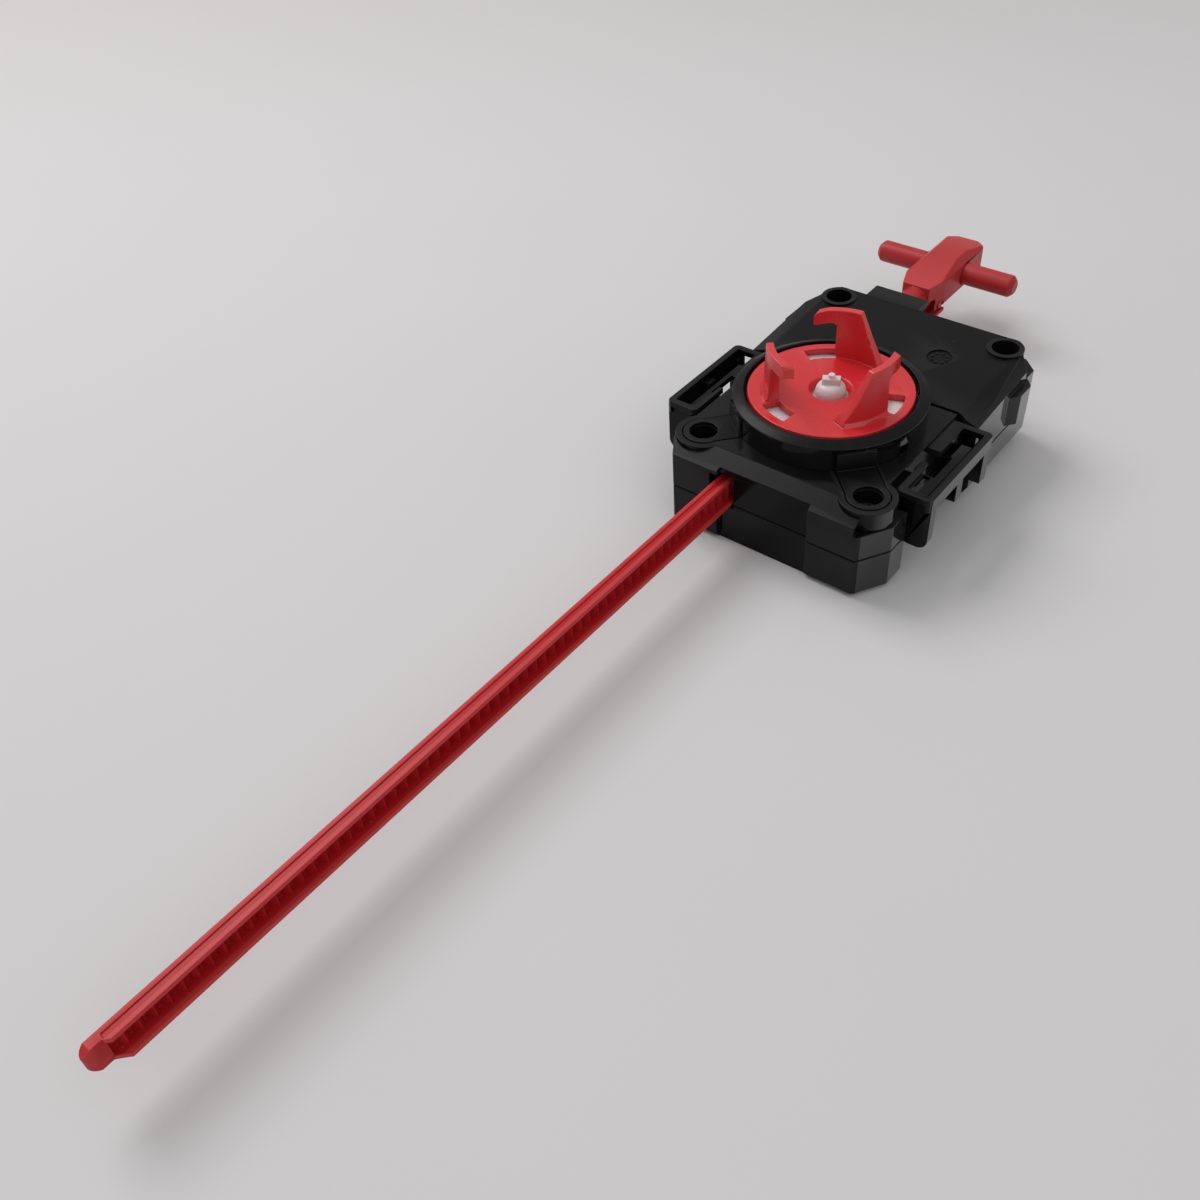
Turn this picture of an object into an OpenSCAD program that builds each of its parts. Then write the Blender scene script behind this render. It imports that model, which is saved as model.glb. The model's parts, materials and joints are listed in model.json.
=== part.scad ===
// Spinning top launcher with a toothed winder, lying hub side up.
// X runs to the right of the casing, Y from its front face to the winder's handle, Z up along the spin axis.
// The origin is on the rest plane, under the spin axis.

/* [Casing] */
// Width of the casing's rear block
case_w = 58.4; // [56:0.2:64]
// Width of the casing's front block
front_w = 54.8; // [53.6:0.2:58]
// Offset of the front block and its screws to the right of the spin axis
front_shift = 1.5; // [0:0.1:1.8]
// Distance from the spin axis to the front face
case_front = 29.5; // [28.5:0.5:34]
// Distance from the spin axis to the rear face
case_rear = 45; // [44:0.5:52]
// Width of the casing across its waist, between the side rails
waist_w = 47.4; // [46.8:0.2:50]
// Distance from the spin axis to the front end of the waist
waist_front = 16.4; // [15.6:0.2:17]
// Distance from the spin axis to the rear end of the waist
waist_rear = 13.2; // [12.6:0.2:14.4]
// Thickness of the casing walls
wall = 2; // [1.4:0.1:2.4]
// Thickness of the casing floor
floor_t = 2; // [1.4:0.1:3]
// Height of the parting line above the rest plane
seam_h = 10; // [9.6:0.2:13]
// Height of the deck that carries the ring
deck_h = 21; // [20:0.5:25]
// Thickness of the deck
deck_t = 2; // [1.4:0.1:2.4]
// Drop from the deck to the rim under the rear cover
rim_drop = 1.5; // [1:0.1:1.9]
// Drop from the deck to the shoulders outside the front lugs
shoulder_drop = 4.4; // [3:0.2:6]
// Front corner cut, measured across the casing
corner_cut_x = 4.4; // [2:0.2:6]
// Front corner cut, measured along the casing
corner_cut_y = 7.2; // [4:0.2:9]
// Rear corner cut
rear_cut = 3.4; // [2:0.2:5]
// Bevel along the lower edges of the front block and the waist
foot_bevel = 1.2; // [0.6:0.1:1.8]
// Width of the bevel along the rear block's lower edges
rear_bevel = 2.2; // [1:0.1:2.4]
// Height of the bevel along the rear block's lower edges
rear_bevel_h = 3.8; // [2:0.1:5]
// Depth of the sloping strip along the front top edge
slope_len = 5.1; // [4:0.1:6]
// Fall of the sloping strip along the front top edge
slope_fall = 2.4; // [1.6:0.1:3]
// Left edge of the recessed front panel, from the spin axis
panel_left = 9.9; // [9.6:0.1:11]
// Right edge of the recessed front panel, from the spin axis
panel_right = 12.8; // [10:0.2:16]
// Depth of the recessed front panel
panel_depth = 1.3; // [0.6:0.1:1.6]

/* [Rear cover] */
// Rise of the rear cover's back edge above the deck
cover_rise = 2.5; // [2:0.1:4]
// Fall of the rear cover towards the ring, in degrees
cover_tilt = 4; // [0:0.5:4.5]
// Thickness of the rear cover
cover_t = 1.8; // [1.2:0.1:1.9]
// Fall of the cover's side bevels
cover_fall = 1.5; // [0.8:0.1:1.8]
// Half width of the cover's flat top, inside its side bevels
cover_flat = 25; // [22:0.2:26]
// Width of the hood over the winder's way in
hood_w = 14; // [12:0.5:18]
// Reach of the hood behind the rear face
hood_reach = 5.2; // [3:0.2:6]
// Radius of the round recess in the cover's top
mark_r = 2.9; // [2:0.1:4]

/* [Side rails] */
// Gap between the waist and each rail
rail_gap = 1.6; // [1:0.1:2]
// Width of each rail
rail_w = 8; // [7.4:0.1:9]
// Thickness of each rail's top plate
rail_t = 1.4; // [1.2:0.1:1.8]
// Drop from the deck to the rail tops
rail_drop = 0.5; // [0.2:0.1:1]
// Width of the long slot in the left rail
rail_slot_w = 3.6; // [3:0.1:3.8]
// Height of each rail's outer skirt
rail_skirt = 3.2; // [2.4:0.1:4]
// Height of the front legs above the rest plane
rail_leg_h = 7.2; // [5:0.2:9]

/* [Ring] */
// Outer radius of the ring round the hub
ring_out = 21.5; // [21:0.1:22.2]
// Height of the ring above the deck
ring_h = 6.4; // [5.6:0.1:6.8]
// Fall of the ring's conical top towards its outer edge
ring_fall = 1.05; // [0.5:0.05:1.4]
// Half width of the ring's ears, and the radius of their round ends
ear_r = 4.5; // [4:0.1:4.9]
// Distance of the front screws from the front block's middle
lug_x = 20.5; // [20:0.1:21]
// Distance of the front screws from the spin axis, along the casing
lug_y = 21.2; // [20.8:0.1:22]
// Radius of the casing's lugs round the front screws
lug_r = 6.2; // [5.6:0.1:6.8]

/* [Hub] */
// Radius of the hub's disc
disc_r = 18.3; // [17.4:0.1:18.5]
// Thickness of the hub's disc
disc_t = 1.5; // [1.3:0.1:2]
// Height of the disc's top above the deck
disc_rise = 6.2; // [6:0.1:7]
// Radius of the disc's centre hole
disc_hole_r = 4.6; // [4.2:0.1:5.4]
// Inner radius of the hooks
hook_in = 12.3; // [11:0.1:12.8]
// Thickness of the hooks
hook_t = 2.4; // [2:0.1:3]
// Height of the hooks above the disc
hook_h = 11.7; // [10:0.1:15]
// Height of the space under each beak
hook_gap = 8.6; // [6:0.1:9]
// Overhang of each beak
beak_len = 4.5; // [3:0.1:6]
// Radius of the spindle's upper journal
journal_r = 4.8; // [4.4:0.1:5]
// Radius of the spindle's lower journal
pivot_r = 2.6; // [2:0.1:3]

/* [Plunger] */
// Travel of the white plunger
plunger_stroke = 1.8; // [1:0.1:1.9]
// Radius of the plunger's dome
dome_r = 3.4; // [3:0.1:3.9]
// Height of the plunger's tip above the disc
tip_rise = 3.6; // [2.8:0.1:3.7]
// Radius of the plunger's stem
stem_r = 2.3; // [2:0.05:2.4]
// Radius of the spring's wire
wire_r = 0.27; // [0.2:0.01:0.3]
// Number of the spring's curls
spring_curls = 5; // [3:1:5]

/* [Gears] */
// Module of all the teeth
tooth_m = 0.85; // [0.8:0.01:0.9]
// Teeth of the pinion that the winder turns
pinion_teeth = 12; // [12:1:13]
// Teeth of the large gear beside the pinion
drive_teeth = 24; // [22:1:26]
// Teeth of the gear on the hub's spindle
hub_teeth = 14; // [14:1:15]
// Face width of the large gear and of the hub's gear
gear_w = 2.5; // [2.2:0.1:2.8]
// Radius of the fixed gear axle
axle_r = 1.5; // [1.2:0.1:1.6]

/* [Winder] */
// Distance from the spin axis to the winder's pitch line
rack_reach = 8.95; // [8.8:0.05:9.4]
// Height of the winder's strip
rack_h = 6; // [5.4:0.1:6.4]
// Thickness of the strip's back
rack_back = 1; // [0.8:0.05:1.4]
// Thickness of the strip's two flanges
flange_t = 1; // [0.8:0.05:1.2]
// Width of the upper flange
flange_top_w = 3; // [2.6:0.1:3.2]
// Width of the lower flange
flange_low_w = 4; // [3.6:0.1:4.2]
// Distance from the spin axis to the front end of the flanges
rack_front = 187.3; // [120:0.5:220]
// Length of the nose beyond the flanges
nose_len = 3.6; // [2:0.1:6]

/* [Handle] */
// Distance from the spin axis to the front end of the handle's block
grip_front = 61.5; // [58:0.5:70]
// Length of the handle's block
grip_len = 29; // [26:0.5:36]
// Width of the handle's block
grip_w = 11; // [10.4:0.2:13]
// Height of the handle's block
grip_h = 10; // [9.4:0.2:13]
// Length of the cross bar
bar_len = 38.6; // [30:0.2:60]
// Radius of the cross bar
bar_r = 2.8; // [2.2:0.1:3.2]
// Radius of the neck between the block and the casing
neck_r = 3.5; // [3:0.1:4]

/* [Screws] */
// Distance of the rear screws from the spin axis, across the casing
rear_screw_x = 21.9; // [21:0.1:22.6]
// Distance of the rear screws from the spin axis, along the casing
rear_screw_y = 40.8; // [38:0.1:42]
// Radius of the recess over each screw head
recess_r = 3.1; // [2.9:0.05:3.3]
// Radius of the screw heads
head_r = 2.7; // [2.2:0.05:2.8]
// Radius of the screw shanks
shank_r = 1.3; // [1:0.05:1.5]

/* [Fits] */
// Radial clearance of turning and sliding fits
run_fit = 0.05; // [0.02:0.01:0.1]
// Radial clearance of screws and pressed pins
seat_fit = 0.02; // [0.01:0.01:0.05]
// Clearance between parts that pass each other
pass_gap = 0.4; // [0.3:0.05:0.5]
// Thinning of every tooth, for backlash
backlash = 0.13; // [0.1:0.01:0.18]

/* [Hidden] */
$fn = 72;

// Overrun of every cut past the face it opens
over = 0.5;
black = [0.05, 0.05, 0.055];
hub_red = [0.86, 0.1, 0.1];
winder_red = [0.72, 0.08, 0.09];
milk_white = [0.93, 0.91, 0.9];
steel = [0.72, 0.73, 0.75];
bronze = [0.72, 0.55, 0.3];
gear_grey = [0.78, 0.78, 0.74];

// Casing levels and half widths
half_w = case_w / 2;
half_waist = waist_w / 2;
half_front = front_w / 2;
seam_line = 0.35;
front_wall = wall + panel_depth;
rim_h = deck_h - rim_drop;
shoulder_h = deck_h - shoulder_drop;
deck_under = deck_h - deck_t;
cover_top = deck_h + cover_rise;
deck_lip = 0.4;
deck_r = ring_out + deck_lip;

// Gear levels, stacked down from the deck
lid_gap = 0.4;
gear_top = deck_under - lid_gap;
gear_z = gear_top - gear_w;
gear_gap = 0.5;
rack_top = gear_z - gear_gap;
rack_z = rack_top - rack_h;
pinion_z = rack_z + flange_t + pass_gap;
pinion_w = rack_h - 2 * flange_t - 2 * pass_gap;

// Tooth form and gear places
pressure_angle = 25;
addendum_share = 0.9;
dedendum_share = 1.2;
flank_steps = 5;
pitch = PI * tooth_m;
pinion_pr = pinion_teeth * tooth_m / 2;
drive_pr = drive_teeth * tooth_m / 2;
hub_pr = hub_teeth * tooth_m / 2;
addendum = addendum_share * tooth_m;
dedendum = dedendum_share * tooth_m;
axle_x = pinion_pr - rack_reach;
axle_y = sqrt(pow(drive_pr + hub_pr, 2) - pow(axle_x, 2));
mesh_angle = atan2(-axle_y, -axle_x);

// Winder strip, counted from its back
rack_tip_x = addendum - rack_reach;
rack_root_x = -dedendum - rack_reach;
rack_left = rack_root_x - rack_back;
rack_low_right = rack_left + flange_low_w;
rack_top_right = rack_left + flange_top_w;
rack_mid_x = (rack_left + rack_low_right) / 2;
tooth_end_y = case_rear + hood_reach;
tooth_lo = ceil((-rack_front + pitch - axle_y) / pitch);
tooth_hi = floor((tooth_end_y - axle_y) / pitch);

// Handle block, whose cheeks straddle the strip
grip_shift = 2.5;
grip_x = rack_mid_x - grip_shift;
grip_rise = 2;
grip_z = rack_z + grip_rise;
grip_top = grip_z + grip_h;
rack_seat_share = 0.3;
rack_end = grip_front + grip_len * rack_seat_share;
bar_place_share = 0.58;
bar_y = grip_front + grip_len * bar_place_share;
bar_height_share = 0.52;
bar_z = grip_z + grip_h * bar_height_share;
pin_r = 0.9;
pin_y = (grip_front + rack_end) / 2;
pin_z = (grip_z + rack_top) / 2;
neck_front = case_rear + hood_reach + pass_gap;

// Rear cover, from the deck's wings to the cut corners round its screws
wing_len = 1.4;
cover_front = waist_rear + wing_len;
cover_nib = 2.4;
cover_cut_x = 5.7;
cover_cut_y = 8;

// Hood over the winder's way in
hood_shift = 0.7;

// Round recess with pips in the cover's top
mark_x = 10.7;
mark_back = 14.4;
mark_at = [mark_x, case_rear - mark_back];
mark_depth = 0.35;
mark_pips = 8;
mark_pip_share = 0.62;

// Ring
ring_clear = 0.7;
ring_in = disc_r + ring_clear;
ring_top = deck_h + ring_h;
ring_edge = 0.3;
ear_rise = 0.15;
ear_gap = 0.25;
ear_sink = 0.8;
gusset_t = 0.15;
ear_arm_share = 0.94;
ear_arm = ear_r * ear_arm_share;
gusset_drop = 2.1;
ring_window_angle = -13;
ring_window_w = 2.4;
ring_window_h = 2;

// Hub stack, from the deck up
washer_t = 0.3;
washer_r = 8.6;
disc_top = deck_h + disc_rise;
disc_z = disc_top - disc_t;
flange_z = deck_h + washer_t + run_fit;
spindle_flange_t = 1;
flange_top = flange_z + spindle_flange_t;
disc_skirt = 1.2;
plate_t = 1;
plate_gap = 0.2;
plate_z = disc_z - plate_gap - plate_t;
plate_r = disc_r - disc_skirt - pass_gap;
hook_count = 3;
hook_turn = 116;
hook_span_share = 2.5;
peg_r = 1.3;
peg_ring_r = (disc_hole_r + hook_in) / 2;
window_angle = 27;
window_w = 3.8;

// Spindle, from the floor up
bush_t = 1.4;
pivot_gap = 0.3;
pivot_len = 6;
pivot_top = floor_t + pivot_len;
hex_r = 3.75;
sleeve_r = 3.6;
clip_t = 0.6;
clip_groove = 0.6;
clip_r = 5;
clip_gap_angle = 70;
bore_end = rack_z + rack_h / 4;
stem_end = gear_z + gear_w / 2;
guide_r = 1;
spring_r = 1.6;

// Screw seats
head_h = 1.7;
head_sink = 3.4;
rear_head_sink = 6;
screw_tip_gap = 1.5;
screw_foot = floor_t + screw_tip_gap;
post_r = 4.2;
rear_boss_r = 4.3;

// Rails
rail_in = half_waist + rail_gap;
rail_out = rail_in + rail_w;
rail_top = deck_h - rail_drop;
rail_low = rail_top - rail_t;
rail_front = -(waist_front - rail_gap / 2);
rail_back = waist_rear - pass_gap;
skirt_t = 1.2;
rail_rim = 1.6;
rail_step = 0.4;
rail_round = 1.3;
rail_rib = 5.4;
rail_rib_t = 0.6;
lane_w = 2.1;
lane_bulge = 0.6;
slit_w = 1.5;
slit_len = 6;
catch_len = 5;
gate_front = -5.8;
gate_back = 0.8;
hole_front = -7.4;
finger_len = 2.7;
finger_w = 1.3;
finger_slit = 0.3;
gap_drop = 1;
tongue_len = 0.8;
leg_t = 2.4;
leg_round = 2.4;
web_t = 3.2;
web_h = 5;
rail_peg_r = 1.2;
rail_peg_len = 1.6;
foot_t = 2.8;
rear_foot_h = 9;
mid_foot_h = 12;

// Ribs on the rear block's sides
rib_t = 1.9;
rib_len = 10;
rib_face = 5;
rib_back = 11.5;
rib_rise = 1.5;
rib_low = seam_h + rib_rise;

// Winder guides inside the casing
guide_gap = 0.35;
guide_len = 8;
guide_t = 1.8;
slot_room = 0.7;
slot_rise = 2.2;

// Plain helpers
module slab(low, high) {
  translate(low) cube(high - low);
}

module plate(z0, z1) {
  translate([0, 0, z0]) linear_extrude(z1 - z0) children();
}

module rod(at, r, z0, z1) {
  translate([at.x, at.y, z0]) cylinder(r = r, h = z1 - z0);
}

module both_sides() {
  children();
  mirror([1, 0, 0]) children();
}

// A profile drawn as [y, z], run along X from x0 to x1
module run_x(x0, x1) {
  translate([x0, 0, 0]) rotate([90, 0, 90]) linear_extrude(x1 - x0) children();
}

// A profile drawn as [x, z], run along Y from y0 to y1
module run_y(y0, y1) {
  translate([0, y1, 0]) rotate([90, 0, 0]) linear_extrude(y1 - y0) children();
}

function mirror_back(points) = [for (k = [len(points) - 1:-1:0]) [-points[k].x, points[k].y]];

function mirrored(points) = concat(points, mirror_back(points));

// Right half of the casing's outline below its shoulders, drawn in by side and by front
function case_half(side, front, shift) = let (slant = norm([corner_cut_x, corner_cut_y])) [
  [shift + half_front - corner_cut_x - side * (slant - corner_cut_x) / corner_cut_y, -case_front + front],
  [shift + half_front - side, -case_front + corner_cut_y + side * (slant - corner_cut_y) / corner_cut_x],
  [shift + half_front - side, -waist_front - side],
  [half_waist - side, -waist_front - side],
  [half_waist - side, waist_rear + side],
  [half_w - side, waist_rear + side],
  [half_w - side, case_rear - rear_cut - side * (sqrt(2) - 1)],
  [half_w - rear_cut - side * (sqrt(2) - 1), case_rear - side]];

function case_points(side, front) = concat(
  case_half(side, front, front_shift),
  mirror_back(case_half(side, front, -front_shift)));

module case_plan(side = 0, front = 0) {
  polygon(case_points(side, front));
}

// Above the shoulders the front block is as narrow as the waist
module upper_plan(side = 0, front = 0) {
  intersection() {
    case_plan(side, front);
    union() {
      translate([side - half_waist, -case_front]) square([waist_w - 2 * side, case_front + case_rear]);
      translate([-half_w, waist_rear]) square([case_w, case_rear]);
    }
  }
}

// The deck: the front block, the waist and a round shelf under the ring
module deck_plan(grow = 0) {
  intersection() {
    case_plan(-grow, -grow);
    translate([-half_waist - grow, -case_front - grow])
      square([waist_w + 2 * grow, case_front + cover_front + 2 * grow]);
  }
  circle(r = deck_r + grow);
}

// Room for the winder's strip through a wall, with the given clearances
module rack_way(y0, y1, side, up) {
  slab([rack_left - side, y0, rack_z - guide_gap], [rack_low_right + side, y1, rack_top + up]);
}

module front_panel_cut(z0, z1, depth = panel_depth) {
  slab([-panel_left, -case_front - over, z0], [panel_right, -case_front + depth, z1]);
}

front_screw_places = [[front_shift - lug_x, -lug_y], [front_shift + lug_x, -lug_y]];
rear_screw_places = [[-rear_screw_x, rear_screw_y], [rear_screw_x, rear_screw_y]];

// A screw hole: recess down to the head's seat, then a clearance hole
module screw_hole(at, seat, top, bottom) {
  rod(at, recess_r, seat, top + over);
  rod(at, shank_r + pass_gap / 2, bottom - over, seat + over);
}

// Casing

// A cut along the lower edge from p to q of an outline that runs with its inside on the left
module edge_bevel(p, q, w, h) {
  edge = q - p;
  translate(p) rotate(atan2(edge.y, edge.x)) run_x(0, norm(edge)) polygon([
    [-over, -over], [w + w * over / h, -over], [-over, h + h * over / w]]);
}

// Posts for the screws, from z0 to z1
module screw_posts(places, z0, z1) {
  for (at = places) rod(at, post_r, z0, z1);
}

module lower_case() {
  outline = case_points(0, 0);
  count = len(outline);
  rear_first = 5;
  rear_last = 9;
  color(black) difference() {
    union() {
      difference() {
        plate(0, seam_h) case_plan();
        plate(floor_t, seam_h + over) case_plan(wall, front_wall);
      }
      screw_posts(front_screw_places, floor_t / 2, seam_h);
      screw_posts(rear_screw_places, floor_t / 2, seam_h);
      rod([0, 0], pivot_r + 2 * bush_t, floor_t / 2, pivot_top);
      rod([axle_x, axle_y], 2 * axle_r, floor_t / 2, rack_z - pass_gap);
      for (y = [-case_front + front_wall - over, case_rear - wall - guide_len])
        slab([rack_left - guide_gap - guide_t, y, floor_t / 2],
          [rack_low_right + guide_t, y + guide_len + over, rack_z - guide_gap]);
      slab([rack_left - guide_gap - guide_t, axle_y - guide_len, floor_t / 2],
        [rack_left - guide_gap, axle_y + guide_len, rack_top - guide_gap]);
    }
    for (at = concat(front_screw_places, rear_screw_places))
      rod(at, shank_r + seat_fit, screw_foot - over, seam_h + over);
    for (k = [0:count - 1]) {
      at_rear = k >= rear_first && k <= rear_last;
      edge_bevel(outline[k], outline[(k + 1) % count],
        at_rear ? rear_bevel : foot_bevel, at_rear ? rear_bevel_h : foot_bevel);
    }
    rod([0, 0], pivot_r + run_fit + bush_t + seat_fit, floor_t, pivot_top + over);
    rod([axle_x, axle_y], axle_r + seat_fit, floor_t, rack_z);
    front_panel_cut(-over, seam_h + over);
    rack_way(-case_front - over, -case_front + front_wall + over, slot_room, slot_rise);
    rack_way(case_rear - wall - over, case_rear + over, slot_room, slot_rise);
  }
}

// The slope along the front top edge, as a cut above it
module front_slope_cut() {
  run_x(-half_w, half_w) polygon([
    [-case_front - over, deck_h + over],
    [-case_front - over, deck_h - slope_fall - slope_fall * over / slope_len],
    [-case_front + slope_len, deck_h],
    [-case_front + slope_len, deck_h + over]]);
}

// Plan of one ear, from inside the ring's wall to round its screw
module ear_plan(at, grow = 0) {
  translate(at) circle(r = ear_r + grow);
  rotate(atan2(at.y, at.x)) translate([ring_out - deck_lip, -ear_arm - grow])
    square([norm(at) - ring_out + deck_lip, 2 * (ear_arm + grow)]);
}

module upper_case() {
  lug_low = shoulder_h + pass_gap / 2;
  color(black) difference() {
    union() {
      difference() {
        union() {
          plate(seam_h, seam_h + seam_line) case_plan(seam_line, seam_line);
          plate(seam_h + seam_line, shoulder_h) case_plan();
          plate(shoulder_h, rim_h) upper_plan();
          plate(rim_h, deck_h) deck_plan();
        }
        plate(seam_h - over, shoulder_h - wall) case_plan(wall, front_wall);
        plate(shoulder_h - wall - over, deck_under) upper_plan(wall, front_wall);
        plate(deck_under - over, rim_h + over) difference() {
          upper_plan(wall, front_wall);
          deck_plan();
        }
        front_slope_cut();
      }
      for (at = front_screw_places) rod(at, lug_r, lug_low, deck_h);
      screw_posts(front_screw_places, seam_h, deck_h);
      screw_posts(rear_screw_places, seam_h, rim_h);
      both_sides() side_rib();
      slab([rack_left - guide_gap - guide_t, -case_front + front_wall - over, rack_top + guide_gap],
        [rack_low_right + guide_t, -case_front + front_wall + guide_len, deck_under + deck_t / 4]);
    }
    for (at = front_screw_places) {
      plate(deck_h - ear_sink, deck_h + over) ear_plan(at, ear_gap);
      screw_hole(at, deck_h - head_sink - head_h, deck_h, seam_h);
    }
    for (at = rear_screw_places) screw_hole(at, rim_h - rear_head_sink, rim_h, seam_h);
    both_sides() for (y = rail_peg_y)
      translate([half_waist + over, y, rail_peg_z]) rotate([0, -90, 0])
        cylinder(r = rail_peg_r + seat_fit, h = rail_peg_len + 2 * over);
    rod([0, 0], journal_r + run_fit + bush_t + seat_fit, deck_under - over, deck_h + over);
    rod([axle_x, axle_y], axle_r + seat_fit, deck_under - over, deck_h - deck_t / 2);
    front_panel_cut(seam_h - over, deck_h + over);
    front_panel_cut(seam_h - over, seam_h + seam_line, panel_depth + seam_line);
    rack_way(-case_front - over, -case_front + front_wall + over, slot_room, slot_rise);
    rack_way(case_rear - wall - over, case_rear + over, slot_room, slot_rise);
  }
}

// Raised rib on the rear block's side, narrower at its outer face
module side_rib() {
  mid = case_rear - rib_back;
  plate(rib_low, rim_h - seam_line) polygon([
    [half_w - over, mid - rib_len / 2 - over], [half_w + rib_t, mid - rib_face / 2],
    [half_w + rib_t, mid + rib_face / 2], [half_w - over, mid + rib_len / 2 + over]]);
}

// Outline of the rear cover, behind the deck's wings and over the rear block
function cover_half() = [
  [half_waist, cover_front + pass_gap / 2],
  [half_waist + cover_nib, waist_rear + pass_gap],
  [half_w, waist_rear + pass_gap],
  [half_w, case_rear - cover_cut_y],
  [half_w - cover_cut_x, case_rear]];

// Cross section of the cover at its back edge, drawn in by t
function cover_section(t) = mirrored([
  [half_w - t, rim_h - over],
  [half_w - t, cover_top - cover_fall - t],
  [cover_flat - t / 2, cover_top - t]]);

// Turns what is drawn level down towards the ring, about the cover's back edge
module tilted() {
  translate([0, case_rear, cover_top]) rotate([cover_tilt, 0, 0])
    translate([0, -case_rear, -cover_top]) children();
}

module rear_cover() {
  hood_right = rack_mid_x - hood_shift + hood_w / 2;
  hood_left = hood_right - hood_w;
  bay_w = rear_screw_x - rear_boss_r;
  bay_front = case_rear - cover_cut_y - cover_t;
  color(black) difference() {
    union() {
      difference() {
        intersection() {
          tilted() run_y(0, case_rear + hood_reach) polygon(cover_section(0));
          plate(rim_h, cover_top + over) polygon(mirrored(cover_half()));
        }
        tilted() {
          run_y(cover_front + 2 * cover_t, bay_front) polygon(cover_section(cover_t));
          slab([-bay_w, bay_front - over, rim_h - over], [bay_w, case_rear - cover_t, cover_top - cover_t]);
        }
      }
      for (at = rear_screw_places) rod(at, rear_boss_r, rim_h, cover_top);
      slab([hood_left, case_rear - over, cover_top - cover_t],
        [hood_right, case_rear + hood_reach, cover_top]);
      for (x = [hood_left, hood_right - cover_t])
        slab([x, case_rear - over, rim_h], [x + cover_t, case_rear + hood_reach / 2, cover_top]);
      slab([rack_left - guide_gap, case_rear - wall - guide_len, rack_top + guide_gap],
        [rack_low_right, case_rear - wall - guide_t, cover_top - cover_t / 2]);
    }
    rod([0, 0], deck_r + pass_gap / 2, rim_h - over, cover_top + over);
    for (at = rear_screw_places) rod(at, recess_r, rim_h - over, cover_top + over);
    tilted() difference() {
      rod(mark_at, mark_r, cover_top - mark_depth, cover_top + over);
      for (turn = [0:mark_pips - 1]) translate(mark_at) rotate(360 * turn / mark_pips)
        rod([mark_r * mark_pip_share, 0], mark_r / mark_pips,
          cover_top - mark_depth - over, cover_top - mark_depth / 3);
    }
  }
}

module launch_ring() {
  color(black) difference() {
    union() {
      rotate_extrude() polygon([
        [ring_in, deck_h],
        [ring_out, deck_h],
        [ring_out, ring_top - ring_fall],
        [ring_in + ring_edge, ring_top],
        [ring_in, ring_top]]);
      for (at = front_screw_places) {
        plate(deck_h - ear_sink, deck_h + ear_rise) ear_plan(at);
        rotate(atan2(at.y, at.x)) slab([ring_out - deck_lip, -ear_arm, deck_h],
          [ring_out + gusset_t, ear_arm, ring_top - gusset_drop]);
      }
    }
    for (at = front_screw_places) rod(at, recess_r, deck_h - ear_sink - over, deck_h + ear_rise + over);
    rotate(ring_window_angle) slab([ring_in - over, -ring_window_w / 2, deck_h + ear_rise],
      [ring_out + over, ring_window_w / 2, deck_h + ear_rise + ring_window_h]);
  }
}

// Side rails, drawn on the right; the left one is mirrored into place
rail_peg_y = [rail_front + 2 * leg_t, rail_back - web_t];
rail_peg_z = rail_low - web_h / 2;

// A rectangle with round corners
module soft_plan(low, high, r) {
  translate([low.x + r, low.y]) square([high.x - low.x - 2 * r, high.y - low.y]);
  translate([low.x, low.y + r]) square([high.x - low.x, high.y - low.y - 2 * r]);
  for (x = [low.x + r, high.x - r], y = [low.y + r, high.y - r]) translate([x, y]) circle(r = r);
}

// What both rails share; a gap next to the casing is left open between gate_front and gate_back
module rail_body() {
  leg_in = rail_in + rail_gap;
  leg_y = rail_front + rail_round / 2;
  leg_foot = rail_leg_h + leg_round;
  web_in = rail_in + rail_rim;
  difference() {
    union() {
      plate(rail_low, rail_top) soft_plan([rail_in, rail_front], [rail_out, rail_back], rail_round);
      plate(rail_top - rail_skirt, rail_low + over) difference() {
        soft_plan([rail_in, rail_front], [rail_out, rail_back], rail_round);
        translate([rail_in - over, rail_front - over])
          square([rail_w - skirt_t + over, rail_back - rail_front + 2 * over]);
      }
      slab([half_waist, gate_back, rail_low], [web_in, rail_back, rail_top]);
    }
    plate(rail_top - rail_step, rail_top + over) soft_plan(
      [rail_in + rail_rim, rail_front + rail_rim],
      [rail_out - rail_rim, rail_back - rail_rim], rail_rim / 2);
  }
  slab([rail_out - rail_rim, rail_front + rail_round, rail_top - rail_rib],
    [rail_out - rail_rim + rail_rib_t, rail_back - rail_round, rail_low + over]);
  run_y(leg_y, leg_y + leg_t) {
    soft_plan([leg_in, rail_leg_h], [rail_out, rail_low], leg_round);
    translate([leg_in, leg_foot]) square([rail_out - leg_in, rail_low + rail_t / 2 - leg_foot]);
  }
  slab([half_waist, leg_y + leg_t / 2, rail_low - web_h], [web_in, gate_front, rail_low - gap_drop]);
  slab([rail_in, leg_y + leg_t / 2, rail_low - web_h], [web_in, gate_front, rail_low + over]);
  slab([half_waist, rail_back - web_t - web_t / 2, rail_low - web_h],
    [web_in, rail_back - web_t / 2, rail_low + over]);
  slab([rail_in, rail_back - rail_rim - catch_len, rail_top - rail_rib],
    [rail_out - rail_rim + rail_rib_t, rail_back - rail_round, rail_top - rail_rib + rail_rib_t]);
  for (y = rail_peg_y) translate([half_waist + over, y, rail_peg_z]) rotate([0, -90, 0])
    cylinder(r = rail_peg_r, h = rail_peg_len + over);
  rail_foot(rail_back - foot_t - over, rear_foot_h);
  rail_foot(-foot_t, mid_foot_h);
}

// A foot under the rail's outer edge, from y on and down to z
module rail_foot(y, z) {
  slab([rail_out - foot_t, y, z], [rail_out - skirt_t / 4, y + foot_t, rail_low + over]);
}

// An opening through the rail's top
module rail_opening(x0, x1, y0, y1) {
  slab([x0, y0, rail_low - over], [x1, y1, rail_top + over]);
}

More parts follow.
